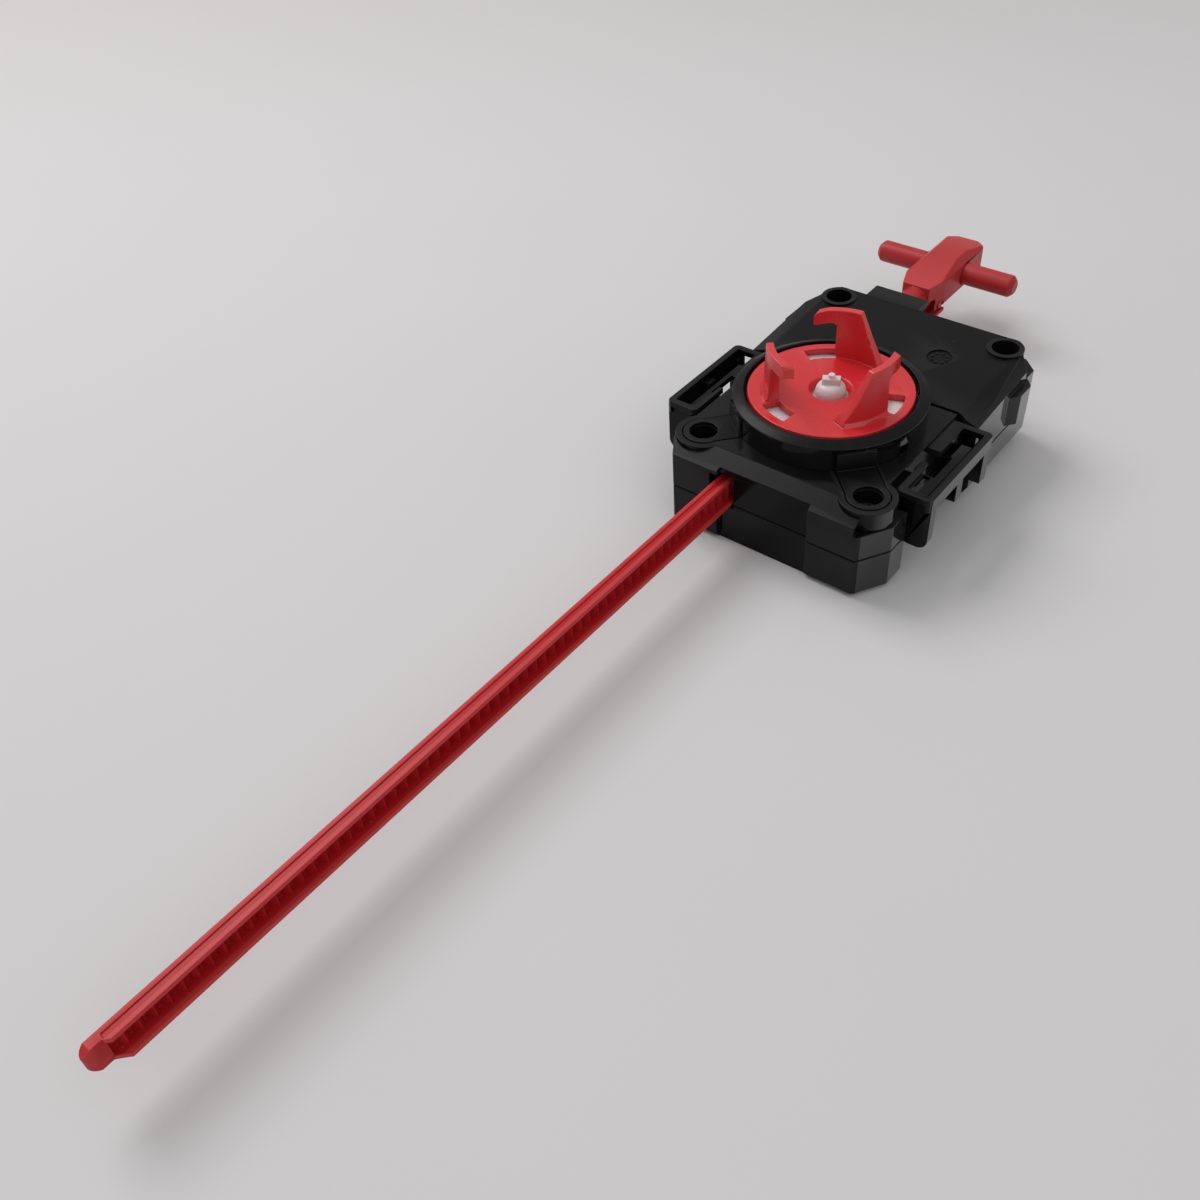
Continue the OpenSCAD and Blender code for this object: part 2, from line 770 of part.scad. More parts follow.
module right_side_rail() {
  inner = rail_in + rail_rim;
  outer = rail_out - rail_rim;
  lane = inner + lane_w;
  rear = rail_back - rail_rim;
  color(black) {
    difference() {
      rail_body();
      rail_opening(lane - slit_w, lane, hole_front - slit_len, hole_front - finger_slit);
      rail_opening(inner, lane + lane_bulge, hole_front, gate_back);
      rail_opening(rail_in - over, inner + over, gate_front, gate_back);
      rail_opening(inner, lane, gate_back - over, rear);
      rail_opening(inner, outer, rear - catch_len, rear);
      slab([outer - finger_slit, rail_front + rail_rim, rail_top - 2 * rail_step],
        [outer, rear - catch_len + over, rail_top + over]);
    }
    slab([rail_in - tongue_len, gate_front - over, rail_low],
      [rail_in + tongue_len, gate_front + finger_len, rail_low + rail_t / 2]);
  }
}

module left_side_rail() {
  inner = rail_in + rail_rim;
  outer = rail_out - rail_rim;
  rear = rail_back - rail_rim;
  notch = gate_front + finger_w;
  color(black) mirror([1, 0, 0]) difference() {
    rail_body();
    rail_opening(outer - rail_slot_w, outer, rail_front + rail_rim, rear);
    rail_opening(inner, outer, rear - catch_len, rear);
    rail_opening(rail_in - over, rail_in + finger_w, notch, gate_back);
    rail_opening(rail_in + finger_w - finger_slit, rail_in + finger_w, notch - finger_len, notch + over);
  }
}

// Fasteners

// A cross-head screw with its head on the seat
module screw(at, seat) {
  socket = head_r / 2;
  difference() {
    union() {
      rod(at, head_r, seat, seat + head_h);
      rod(at, shank_r, screw_foot, seat + over);
    }
    for (turn = [0, 90]) translate([at.x, at.y, seat + head_h / 2]) rotate(turn)
      translate([-socket, -socket / 4, 0]) cube([2 * socket, socket / 2, head_h]);
  }
}

module front_screws() {
  color(steel) for (at = front_screw_places) screw(at, deck_h - head_sink - head_h);
}

module rear_screws() {
  color(steel) for (at = rear_screw_places) screw(at, rim_h - rear_head_sink);
}

// Bearings and axle

module bush(inner_r, z0, z1) {
  difference() {
    rod([0, 0], inner_r + bush_t, z0, z1);
    rod([0, 0], inner_r, z0 - over, z1 + over);
  }
}

module upper_bush() {
  color(bronze) bush(journal_r + run_fit, deck_under, deck_h);
}

module lower_bush() {
  color(bronze) bush(pivot_r + run_fit, floor_t, pivot_top);
}

module thrust_washer() {
  color(steel) difference() {
    rod([0, 0], washer_r, deck_h, deck_h + washer_t);
    rod([0, 0], journal_r + pass_gap, deck_h - over, deck_h + washer_t + over);
  }
}

module gear_axle() {
  color(steel) rod([axle_x, axle_y], axle_r, floor_t, deck_h - deck_t / 2);
}

// Gears with involute teeth

function involute(angle) = tan(angle) * 180 / PI - angle;

// Half angle of a tooth at radius rho
function tooth_half(pr, rho) = (pitch / 2 - backlash) / 2 / pr * 180 / PI + involute(pressure_angle)
  - involute(acos(min(1, pr * cos(pressure_angle) / rho)));

function gear_points(teeth) = let (
    pr = teeth * tooth_m / 2,
    low = max(pr - dedendum, pr * cos(pressure_angle)),
    radii = [for (k = [0:flank_steps]) low + (pr + addendum - low) * k / flank_steps])
  [for (tooth = [0:teeth - 1]) let (middle = 360 * tooth / teeth)
    each concat(
      [polar(pr - dedendum, middle - tooth_half(pr, low))],
      [for (rho = radii) polar(rho, middle - tooth_half(pr, rho))],
      [for (k = [flank_steps:-1:0]) polar(radii[k], middle + tooth_half(pr, radii[k]))],
      [polar(pr - dedendum, middle + tooth_half(pr, low))])];

function polar(r, angle) = [r * cos(angle), r * sin(angle)];

module step_gear() {
  collar_r = axle_r + wall / 2;
  neck_r = 2 * axle_r;
  color(gear_grey) translate([axle_x, axle_y, 0]) difference() {
    union() {
      plate(pinion_z, pinion_z + pinion_w) rotate(180 + 180 / pinion_teeth)
        polygon(gear_points(pinion_teeth));
      plate(gear_z, gear_top) rotate(mesh_angle) polygon(gear_points(drive_teeth));
      rod([0, 0], collar_r, rack_z - pass_gap + run_fit, gear_top);
      rod([0, 0], neck_r, pinion_z, gear_z + over);
    }
    rod([0, 0], axle_r + run_fit, 0, deck_h);
  }
}

module hub_gear() {
  color(gear_grey) difference() {
    plate(gear_z, gear_top) rotate(mesh_angle + 180 + 180 / hub_teeth) polygon(gear_points(hub_teeth));
    translate([0, 0, gear_z - over]) cylinder(r = hex_r + seat_fit, h = gear_w + 2 * over, $fn = 6);
  }
}

// Hub

module hub_ring_places() {
  for (turn = [0:hook_count - 1]) rotate(hook_turn + 360 * turn / hook_count) children();
}

// Side view of one hook as shares of its ramp, beak, height and gap; the stem's edge is at 0
hook_ramp_shares = [[1, 0.02], [0.7, 0.5], [0.45, 1]];
hook_beak_shares = [[0.5, 1], [0.9, 0.97], [1, 0.91]];
hook_under_shares = [[1, 1], [0.88, 0.97], [0.2, 1], [0, 0.93]];

module hook_side() {
  ramp = beak_len * hook_span_share;
  polygon(concat(
    [[0, -over], [-ramp, -over]],
    [for (p = hook_ramp_shares) [-ramp * p.x, hook_h * p.y]],
    [for (p = hook_beak_shares) [beak_len * p.x, hook_h * p.y]],
    [for (p = hook_under_shares) [beak_len * p.x, hook_gap * p.y]]));
}

module hook() {
  lean = 18;
  reach = hook_in + hook_t;
  draft = hook_t / 6;
  intersection() {
    rotate(-lean) translate([0, (hook_in + hook_t / 2) * sin(lean), disc_top])
      rotate([90, 0, 90]) linear_extrude(reach + over) hook_side();
    rotate_extrude() polygon([
      [hook_in, disc_z + over], [reach + 2 * draft, disc_z + over], [reach + 2 * draft, disc_top],
      [reach, disc_top + 2 * draft], [reach - draft, disc_top + hook_h + over],
      [hook_in + draft, disc_top + hook_h + over], [hook_in, disc_top]]);
  }
}

module hub_disc() {
  edge = disc_t / 6;
  lip_r = dome_r + pass_gap;
  color(hub_red) difference() {
    union() {
      rotate_extrude() polygon([
        [lip_r, disc_z], [disc_r - disc_skirt, disc_z], [disc_r - disc_skirt, flange_top],
        [disc_r, flange_top], [disc_r, disc_top - edge], [disc_r - edge, disc_top],
        [disc_hole_r + edge, disc_top], [disc_hole_r, disc_top - edge]]);
      hub_ring_places() {
        hook();
        rotate(180 / hook_count) rod([peg_ring_r, 0], peg_r, flange_z, disc_z + over);
      }
    }
    hub_ring_places() rotate_extrude(angle = window_angle)
      translate([hook_in, disc_z - over]) square([window_w, disc_t + 2 * over]);
  }
}

module hub_spindle() {
  groove_top = gear_z - run_fit;
  color(gear_grey) difference() {
    union() {
      rod([0, 0], disc_r - run_fit, flange_z, flange_top);
      rod([0, 0], journal_r, gear_top, flange_top);
      translate([0, 0, gear_z - over]) cylinder(r = hex_r, h = gear_w + 2 * over, $fn = 6);
      rod([0, 0], sleeve_r, pivot_top + pivot_gap, gear_z - over + run_fit);
      rod([0, 0], pivot_r, floor_t + pivot_gap, pivot_top + wall);
    }
    rod([0, 0], stem_r + run_fit, bore_end, flange_top + over);
    difference() {
      rod([0, 0], clip_r, groove_top - clip_t - run_fit, groove_top);
      rod([0, 0], sleeve_r - clip_groove, groove_top - clip_t - over, groove_top + over);
    }
    hub_ring_places() rotate(180 / hook_count)
      rod([peg_ring_r, 0], peg_r + seat_fit, flange_z - over, flange_top + over);
  }
}

module spindle_clip() {
  z1 = gear_z - run_fit - run_fit / 2;
  color(steel) rotate(clip_gap_angle / 2) rotate_extrude(angle = 360 - clip_gap_angle)
    translate([sleeve_r - clip_groove + seat_fit, z1 - clip_t + run_fit / 2])
      square([clip_r - sleeve_r + clip_groove - seat_fit, clip_t]);
}

// Plunger and its spring

dome_foot_share = 0.22;
dome_share = 0.39;
dome_r_share = 0.47;
blade_share = 0.76;
blade_r_share = 0.58;
nub_share = 0.21;
dome_steps = 8;
blade_t = 1.8;
blade_turn = 27;

module lock_plunger() {
  dome_z = disc_top - tip_rise * dome_foot_share;
  dome_top = disc_top + tip_rise * dome_share;
  dome_end_r = dome_r * dome_r_share;
  blade_r = dome_r * blade_r_share;
  color(milk_white) difference() {
    union() {
      rotate_extrude() polygon(concat(
        [[0, plate_z], [plate_r, plate_z], [plate_r, plate_z + plate_t], [dome_r, plate_z + plate_t]],
        [for (k = [0:dome_steps]) let (turn = 90 * k / dome_steps)
          [dome_end_r + (dome_r - dome_end_r) * cos(turn), dome_z + (dome_top - dome_z) * sin(turn)]],
        [[0, dome_top]]));
      rotate(blade_turn) slab([-blade_r, -blade_t / 2, disc_top],
        [blade_r, blade_t / 2, disc_top + tip_rise * blade_share]);
      rod([0, 0], dome_r * nub_share, disc_top, disc_top + tip_rise);
      rod([0, 0], stem_r, stem_end, plate_z + plate_t / 2);
      rod([0, 0], guide_r, bore_end + plunger_stroke + pass_gap, stem_end + over);
    }
    hub_ring_places() rotate(180 / hook_count)
      rod([peg_ring_r, 0], peg_r + pass_gap, plate_z - over, plate_z + plate_t + over);
  }
}

rings_per_curl = 8;
wire_sides = 6;
spring_low = bore_end + wire_r + run_fit;
spring_high = stem_end - wire_r - run_fit;
spring_rings = spring_curls * rings_per_curl;

function curl_point(k) = let (turn = 360 * k / rings_per_curl)
  [spring_r * cos(turn), spring_r * sin(turn), spring_low + (spring_high - spring_low) * k / spring_rings];

function curl_ring(k) = let (turn = 360 * k / rings_per_curl, centre = curl_point(k))
  [for (s = [0:wire_sides - 1]) let (a = 360 * s / wire_sides)
    centre + wire_r * [cos(a) * cos(turn), cos(a) * sin(turn), sin(a)]];

spring_gap = min([for (k = [0:spring_rings - rings_per_curl])
  norm(curl_point(k + rings_per_curl) - curl_point(k))]) - 2 * wire_r;
echo(spring_least_gap = spring_gap);

module plunger_spring() {
  points = [for (k = [0:spring_rings]) each curl_ring(k)];
  sides = [for (k = [0:spring_rings - 1], s = [0:wire_sides - 1]) let (
      a = k * wire_sides + s,
      b = k * wire_sides + (s + 1) % wire_sides)
    each [[a, a + wire_sides, b], [b, a + wire_sides, b + wire_sides]]];
  last = spring_rings * wire_sides;
  ends = [for (s = [1:wire_sides - 2]) each [[0, s, s + 1], [last, last + s + 1, last + s]]];
  color(steel) polyhedron(points, concat(sides, ends));
}

// Winder

module rack_teeth_plan() {
  tip_half = (pitch / 2 - backlash) / 2 - addendum * tan(pressure_angle);
  root_half = (pitch / 2 - backlash) / 2 + dedendum * tan(pressure_angle);
  polygon(concat(
    [[rack_left, rack_end], [rack_left, -rack_front], [rack_root_x, -rack_front]],
    [for (k = [tooth_lo:tooth_hi]) let (y = axle_y + k * pitch) each [
      [rack_root_x, y - root_half], [rack_tip_x, y - tip_half],
      [rack_tip_x, y + tip_half], [rack_root_x, y + root_half]]],
    [[rack_root_x, rack_end]]));
}

module winder_rack() {
  nose_w = rack_back + dedendum;
  nose_cut = rack_h / 4;
  groove_w = flange_top_w / 3;
  groove_d = flange_t / 4;
  slant = flange_low_w / 2;
  color(winder_red) difference() {
    union() {
      plate(rack_z, rack_top) rack_teeth_plan();
      slab([rack_left, -rack_front, rack_top - flange_t], [rack_top_right, rack_end, rack_top]);
      slab([rack_left, -rack_front, rack_z], [rack_low_right, rack_end, rack_z + flange_t]);
      intersection() {
        union() {
          rod([rack_left + nose_w / 2, -rack_front - nose_len + nose_w / 2], nose_w / 2, rack_z, rack_top);
          slab([rack_left, -rack_front - nose_len + nose_w / 2, rack_z],
            [rack_left + nose_w, -rack_front + over, rack_top]);
        }
        run_x(rack_left - over, rack_low_right + over) polygon([
          [-rack_front - nose_len, rack_z + nose_cut], [-rack_front - nose_len + nose_cut, rack_z],
          [-rack_front + over, rack_z], [-rack_front + over, rack_top],
          [-rack_front - nose_len + nose_cut, rack_top], [-rack_front - nose_len, rack_top - nose_cut]]);
      }
    }
    plate(rack_z - over, rack_top + over) polygon([
      [rack_left + nose_w, -rack_front - over], [rack_low_right + over, -rack_front - over],
      [rack_low_right + over, -rack_front + slant]]);
    slab([rack_left + groove_w, -rack_front + pitch, rack_top - groove_d],
      [rack_left + 2 * groove_w, case_rear, rack_top + over]);
    translate([rack_left - over, pin_y, pin_z]) rotate([0, 90, 0])
      cylinder(r = pin_r + seat_fit, h = flange_low_w + 2 * over);
  }
}

// Handle

nose_share = 0.68;
cut_share = 0.24;
chamfer_share = 0.16;
front_fall_share = 0.2;

module handle_block() {
  nose_w = grip_w * nose_share;
  cut = grip_w * cut_share;
  chamfer = grip_w * chamfer_share;
  front_top = grip_top - grip_h * front_fall_share;
  grip_back = grip_front + grip_len;
  half_grip = grip_w / 2;
  color(winder_red) difference() {
    union() {
      intersection() {
        translate([grip_x, 0, 0]) plate(grip_z, grip_top) polygon(mirrored([
          [nose_w / 2, grip_front], [half_grip, grip_front + 2 * cut],
          [half_grip, grip_back - cut], [half_grip - cut, grip_back]]));
        translate([grip_x, 0, 0]) run_y(grip_front, grip_back) polygon(mirrored([
          [half_grip - chamfer, grip_z], [half_grip, grip_z + chamfer],
          [half_grip, grip_top - chamfer], [half_grip - chamfer, grip_top]]));
        run_x(grip_x - half_grip, grip_x + half_grip) polygon([
          [grip_front, grip_z], [grip_back, grip_z], [grip_back, grip_top - chamfer],
          [bar_y + bar_r, grip_top], [bar_y - bar_r, grip_top], [grip_front, front_top]]);
      }
      translate([grip_x, neck_front, rack_top - seat_fit]) rotate([-90, 0, 0])
        cylinder(r = neck_r, h = grip_front + cut - neck_front);
    }
    slab([rack_left - seat_fit, neck_front - over, rack_z - neck_r],
      [rack_low_right + seat_fit, rack_end + seat_fit, rack_top + seat_fit]);
    translate([grip_x - grip_w, pin_y, pin_z]) rotate([0, 90, 0])
      cylinder(r = pin_r + seat_fit, h = 2 * grip_w);
    translate([grip_x - grip_w, bar_y, bar_z]) rotate([0, 90, 0])
      cylinder(r = bar_r + seat_fit, h = 2 * grip_w);
  }
}

bar_edge_share = 0.4;

module handle_bar() {
  edge = bar_r * bar_edge_share;
  color(winder_red) translate([grip_x - bar_len / 2, bar_y, bar_z]) rotate([0, 90, 0])
    rotate_extrude() polygon([
      [0, 0], [bar_r - edge, 0], [bar_r, edge],
      [bar_r, bar_len - edge], [bar_r - edge, bar_len], [0, bar_len]]);
}

module handle_pin() {
  color(winder_red) translate([grip_x - grip_w / 2 + over / 2, pin_y, pin_z]) rotate([0, 90, 0])
    cylinder(r = pin_r, h = grip_w - over);
}

lower_case();
upper_case();
rear_cover();
launch_ring();
left_side_rail();
right_side_rail();
front_screws();
rear_screws();
upper_bush();
lower_bush();
thrust_washer();
gear_axle();
step_gear();
hub_disc();
hub_spindle();
hub_gear();
spindle_clip();
lock_plunger();
plunger_spring();
winder_rack();
handle_block();
handle_bar();
handle_pin();
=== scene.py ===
"""Looks of the spinning top launcher: finishes, rounded edges, winder, screws, spring, studio."""

import json
import math

import bmesh
import bpy
from mathutils import Matrix, Vector
from mathutils.bvhtree import BVHTree

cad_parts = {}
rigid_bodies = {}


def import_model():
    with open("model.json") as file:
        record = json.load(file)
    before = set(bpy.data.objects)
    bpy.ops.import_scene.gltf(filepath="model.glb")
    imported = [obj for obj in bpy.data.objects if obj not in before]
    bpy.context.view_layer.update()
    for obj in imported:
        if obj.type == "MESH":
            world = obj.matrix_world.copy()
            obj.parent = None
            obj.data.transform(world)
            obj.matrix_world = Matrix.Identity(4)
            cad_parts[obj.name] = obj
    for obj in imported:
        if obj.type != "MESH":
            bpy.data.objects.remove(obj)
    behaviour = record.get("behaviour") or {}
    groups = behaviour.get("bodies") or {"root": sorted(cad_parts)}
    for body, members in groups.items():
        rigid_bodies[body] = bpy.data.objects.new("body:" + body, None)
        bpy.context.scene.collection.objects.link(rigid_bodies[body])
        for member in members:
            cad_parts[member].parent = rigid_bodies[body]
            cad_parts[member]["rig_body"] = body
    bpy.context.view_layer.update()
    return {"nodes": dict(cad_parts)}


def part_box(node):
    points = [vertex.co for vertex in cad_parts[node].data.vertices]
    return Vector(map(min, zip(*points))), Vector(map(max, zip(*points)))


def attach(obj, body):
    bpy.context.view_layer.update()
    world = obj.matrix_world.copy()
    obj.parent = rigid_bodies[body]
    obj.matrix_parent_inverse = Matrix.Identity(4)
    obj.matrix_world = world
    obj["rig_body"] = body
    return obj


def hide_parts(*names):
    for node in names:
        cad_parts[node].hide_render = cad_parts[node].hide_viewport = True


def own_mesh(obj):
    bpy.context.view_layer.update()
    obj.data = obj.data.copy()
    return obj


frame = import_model()
nodes = frame["nodes"]

# Lengths are in millimetres, apart from the studio's
MM = 0.001
EDGE_ANGLE = math.radians(29)
EDGE_POINTINESS = (0.515, 0.56)


# Node trees, written as calls


class Reading:
    """What one socket gives. Arithmetic on readings adds the Math nodes that it needs."""

    def __init__(self, graph, socket):
        self.graph = graph
        self.socket = socket

    def maths(self, operation, *others):
        feeds = dict(enumerate((self,) + others))
        return self.graph.read("ShaderNodeMath", {"operation": operation}, feeds)

    def __add__(self, other):
        return self.maths("ADD", other)

    def __sub__(self, other):
        return self.maths("SUBTRACT", other)

    def __mul__(self, other):
        return self.maths("MULTIPLY", other)

    def __gt__(self, other):
        return self.maths("GREATER_THAN", other)

    def __lt__(self, other):
        return self.maths("LESS_THAN", other)

    __radd__ = __add__
    __rmul__ = __mul__

    def ease(self, low, high):
        """0 below low, 1 above high, and smooth between them."""
        return self.graph.read(
            "ShaderNodeMapRange", {"interpolation_type": "SMOOTHSTEP"},
            {"Value": self, "From Min": low, "From Max": high})


class Graph:
    """A node tree. Each node is one call: its type, its settings, then what feeds its sockets."""

    # Places of the Mix node's colour sockets
    MIX_SHARE, MIX_FIRST, MIX_SECOND, MIX_RESULT = 0, 6, 7, 2

    def __init__(self, tree):
        self.tree = tree
        tree.nodes.clear()

    def node(self, kind, settings=None, feeds=None):
        made = self.tree.nodes.new(kind)
        for name, value in (settings or {}).items():
            setattr(made, name, value)
        for name, value in (feeds or {}).items():
            socket = made.inputs[name]
            for one in value if isinstance(value, list) else [value]:
                if isinstance(one, Reading):
                    self.tree.links.new(one.socket, socket)
                else:
                    socket.default_value = one
        return made

    def read(self, kind, settings=None, feeds=None, output=0):
        return Reading(self, self.node(kind, settings, feeds).outputs[output])

    def blend(self, share, first, second):
        """A colour between two, by share."""
        feeds = {self.MIX_SHARE: share, self.MIX_FIRST: first, self.MIX_SECOND: second}
        return self.read("ShaderNodeMix", {"data_type": "RGBA"}, feeds, self.MIX_RESULT)

    def part(self, vector, axis):
        """One axis of a vector."""
        return self.read("ShaderNodeSeparateXYZ", None, {0: vector}, axis)


class Finish(Graph):
    """The material of one kind of piece. What is the same all over is fixed on its shader."""

    def __init__(self, name, **fixed):
        self.material = bpy.data.materials.new(name)
        self.material.use_nodes = True
        super().__init__(self.material.node_tree)
        sockets = {self.label(key): value for key, value in fixed.items()}
        self.shader = self.node("ShaderNodeBsdfPrincipled", None, sockets)
        surface = Reading(self, self.shader.outputs[0])
        self.node("ShaderNodeOutputMaterial", None, {"Surface": surface})
        self.place = self.read("ShaderNodeTexCoord", output="Object")

    @staticmethod
    def label(key):
        """The shader's own name for a socket."""
        return key.replace("_", " ").title().replace("Ior", "IOR")

    def paint(self, **feeds):
        for key, value in feeds.items():
            self.tree.links.new(value.socket, self.shader.inputs[self.label(key)])

    def noise(self, grain, detail, stretch=None):
        """Noise with patches about grain across, drawn out along an axis by stretch."""
        place = self.place
        if stretch:
            place = self.read("ShaderNodeMapping", None, {"Vector": place, "Scale": stretch})
        feeds = {"Vector": place, "Scale": 1 / (grain * MM), "Detail": detail}
        return self.read("ShaderNodeTexNoise", None, feeds)

    def specks(self, spacing, radius, share):
        """1 in dots of one radius, which stand in a share of the cells, spacing apart."""
        cells = self.node(
            "ShaderNodeTexVoronoi", None, {"Vector": self.place, "Scale": 1 / (spacing * MM)})
        chance = self.read(
            "ShaderNodeSeparateColor", None, {0: Reading(self, cells.outputs["Color"])})
        distance = Reading(self, cells.outputs["Distance"])
        return (distance < radius / spacing) * (chance < share)

    def bump(self, height, depth):
        """Relief from height, 0 to 1, that is as deep as depth."""
        feeds = {"Height": height, "Distance": depth * MM, "Strength": 1.0}
        return self.read("ShaderNodeBump", None, feeds)

    def facing(self, axis):
        """How far a face looks along an axis of the piece's own frame."""
        return self.part(self.read("ShaderNodeTexCoord", output="Normal"), axis)

    def upward(self, low, high):
        """1 on faces that look up."""
        return self.facing("Z").ease(low, high)

    def sideways(self, low, high):
        """1 on faces that look to the left or right."""
        return self.facing("X").maths("ABSOLUTE").ease(low, high)

    def outside(self, reach):
        """1 further than reach to the left or right of the middle."""
        return self.part(self.place, "X").maths("ABSOLUTE") > reach * MM

    def edges(self):
        """1 along outward edges, where wear shows; the black finish also paints a highlight there.
        """
        return self.read("ShaderNodeNewGeometry", output="Pointiness").ease(*EDGE_POINTINESS)


def shade(red, green, blue):
    return (red, green, blue, 1.0)


# Finishes


def black_moulding(name, flank, slope, level, relief, outside):
    """Black plastic, whose roughness differs on its flanks, sloping faces and level faces.

    Flanks further than outside from the middle are polished like glass.
    """
    edge_wear_and_highlight_tint, dust_tint = 0.3, 0.25
    handled_rough, hair_rough, dust_rough = 0.05, 0.05, 0.1
    peel_share, relief_depth = 0.5, 0.012
    finish = Finish(name, ior=1.45, specular_ior_level=0.15, coat_roughness=0.06, coat_ior=1.6)
    cloud = finish.noise(grain=14, detail=3)
    handled = finish.noise(grain=5, detail=4, stretch=(1, 0.35, 1))
    hair = finish.noise(grain=0.9, detail=1, stretch=(1, 0.03, 1)).ease(low=0.66, high=0.74)
    sloping = finish.upward(low=0.45, high=0.8)
    flat = finish.upward(low=0.94, high=0.99)
    edge_wear_and_highlight = finish.edges()
    dust = finish.specks(spacing=1.7, radius=0.11, share=0.2) * flat
    colour = finish.blend(cloud, shade(0.0032, 0.0032, 0.0038), shade(0.0058, 0.0058, 0.0066))
    # Paler edges: partly wear, partly a painted highlight along the outward edges
    colour = finish.blend(edge_wear_and_highlight * edge_wear_and_highlight_tint, colour, shade(0.04, 0.04, 0.042))
    colour = finish.blend(dust * dust_tint, colour, shade(0.25, 0.25, 0.245))
    rough = flank + (slope - flank) * sloping + (level - slope) * flat
    rough = rough + handled_rough * handled + hair_rough * hair + dust_rough * dust
    grain = finish.noise(grain=0.16, detail=2) * sloping * relief
    peel = finish.noise(grain=2.6, detail=2) * peel_share
    polish = finish.sideways(low=0.55, high=0.95) * finish.outside(outside)
    finish.paint(
        base_color=colour, roughness=rough, coat_weight=polish,
        normal=finish.bump(grain + peel, relief_depth))
    return finish.material


def red_moulding(name, light, deep, gloss, shine, along):
    """Red plastic with flow marks drawn out along the moulding, and edges made paler by wear."""
    cloud_share, flow_share = 0.65, 0.35
    edge_wear_and_highlight_tint, dust_tint = 0.18, 0.2
    flow_rough, cloud_rough = 0.12, 0.06
    broad_share, fine_share, relief_depth = 0.6, 0.4, 0.011
    finish = Finish(name, ior=1.49, specular_ior_level=shine)
    cloud = finish.noise(grain=9, detail=3)
    flow = finish.noise(grain=2.2, detail=3, stretch=along)
    edge_wear_and_highlight = finish.edges()
    dust = finish.specks(spacing=1.5, radius=0.1, share=0.16)
    colour = finish.blend(cloud * cloud_share + flow * flow_share, deep, light)
    colour = finish.blend(edge_wear_and_highlight * edge_wear_and_highlight_tint, colour, shade(0.9, 0.16, 0.15))
    colour = finish.blend(dust * dust_tint, colour, shade(0.75, 0.6, 0.58))
    rough = gloss + flow_rough * flow + cloud_rough * cloud
    peel = finish.noise(grain=1.9, detail=2) * broad_share
    peel = peel + finish.noise(grain=0.22, detail=2) * fine_share
    finish.paint(base_color=colour, roughness=rough, normal=finish.bump(peel, relief_depth))
    return finish.material


def milky_moulding():
    """Unpigmented plastic that lets some light through."""
    gloss, mottled_rough, relief_depth = 0.3, 0.14, 0.01
    finish = Finish(
        "milky_pin", ior=1.5, subsurface_weight=0.55, subsurface_radius=(1.0, 0.92, 0.9),
        subsurface_scale=0.0012)
    cloud = finish.noise(grain=3, detail=3)
    colour = finish.blend(cloud, shade(0.60, 0.535, 0.54), shade(0.69, 0.63, 0.635))
    rough = gloss + mottled_rough * finish.noise(grain=1.1, detail=2)
    relief = finish.bump(finish.noise(grain=0.7, detail=2), relief_depth)
    finish.paint(base_color=colour, roughness=rough, normal=relief)
    return finish.material


def gear_moulding():
    """Natural gear plastic with a slightly waxy, mottled face."""
    gloss, mottled_rough, relief_depth = 0.38, 0.14, 0.012
    finish = Finish("gear_plastic", ior=1.48)
    cloud = finish.noise(grain=4, detail=3)
    colour = finish.blend(cloud, shade(0.62, 0.61, 0.57), shade(0.72, 0.71, 0.67))
    rough = gloss + mottled_rough * finish.noise(grain=1.4, detail=3)
    relief = finish.bump(finish.noise(grain=0.5, detail=2), relief_depth)
    finish.paint(base_color=colour, roughness=rough, normal=relief)
    return finish.material


def drawn_metal(name, light, deep, gloss, along):
    """Metal with fine drawn lines along one axis."""
    cloud_share, line_share = 0.5, 0.5
    line_rough, cloud_rough, relief_depth = 0.16, 0.08, 0.006
    finish = Finish(name, metallic=1.0)
    lines = finish.noise(grain=0.12, detail=2, stretch=along)
    cloud = finish.noise(grain=2.5, detail=3)
    colour = finish.blend(cloud * cloud_share + lines * line_share, deep, light)
    rough = gloss + line_rough * lines + cloud_rough * cloud
    finish.paint(base_color=colour, roughness=rough, normal=finish.bump(lines, relief_depth))
    return finish.material


casing_black = black_moulding(
    "casing_black", flank=0.1, slope=0.32, level=0.13, relief=0.5, outside=25)
cover_black = black_moulding(
    "cover_black", flank=0.12, slope=0.36, level=0.4, relief=1.6, outside=28)
ring_black = black_moulding(
    "ring_black", flank=0.07, slope=0.3, level=0.26, relief=0.7, outside=0)
rail_black = black_moulding(
    "rail_black", flank=0.12, slope=0.3, level=0.3, relief=1.0, outside=32.8)
hub_red = red_moulding(
    "hub_red", light=shade(0.63, 0.024, 0.029), deep=shade(0.54, 0.016, 0.02),
    gloss=0.17, shine=0.5, along=(1, 1, 0.3))
winder_red = red_moulding(
    "winder_red", light=shade(0.46, 0.013, 0.017), deep=shade(0.37, 0.009, 0.012),
    gloss=0.3, shine=0.2, along=(1, 0.06, 1))
handle_red = red_moulding(
    "handle_red", light=shade(0.43, 0.018, 0.021), deep=shade(0.35, 0.011, 0.014),
    gloss=0.3, shine=0.35, along=(0.3, 1, 1))
milky_pin = milky_moulding()
gear_plastic = gear_moulding()
bright_steel = drawn_metal(
    "bright_steel", light=shade(0.62, 0.62, 0.63), deep=shade(0.48, 0.48, 0.5),
    gloss=0.22, along=(1, 1, 0.05))
dark_steel = drawn_metal(
    "dark_steel", light=shade(0.16, 0.16, 0.165), deep=shade(0.1, 0.1, 0.105),
    gloss=0.26, along=(1, 0.1, 1))
bush_bronze = drawn_metal(
    "bush_bronze", light=shade(0.55, 0.37, 0.17), deep=shade(0.42, 0.27, 0.12),
    gloss=0.3, along=(1, 1, 0.05))


# Pieces in their own shape

MERGE_GAP = 0.002
FLAT_ANGLE = math.radians(0.4)
ROUNDING_STEPS = 2
THROWN_SHARE = 0.6

slot_of = {name: node.data.materials[0].name.split(".")[0] for name, node in nodes.items()}


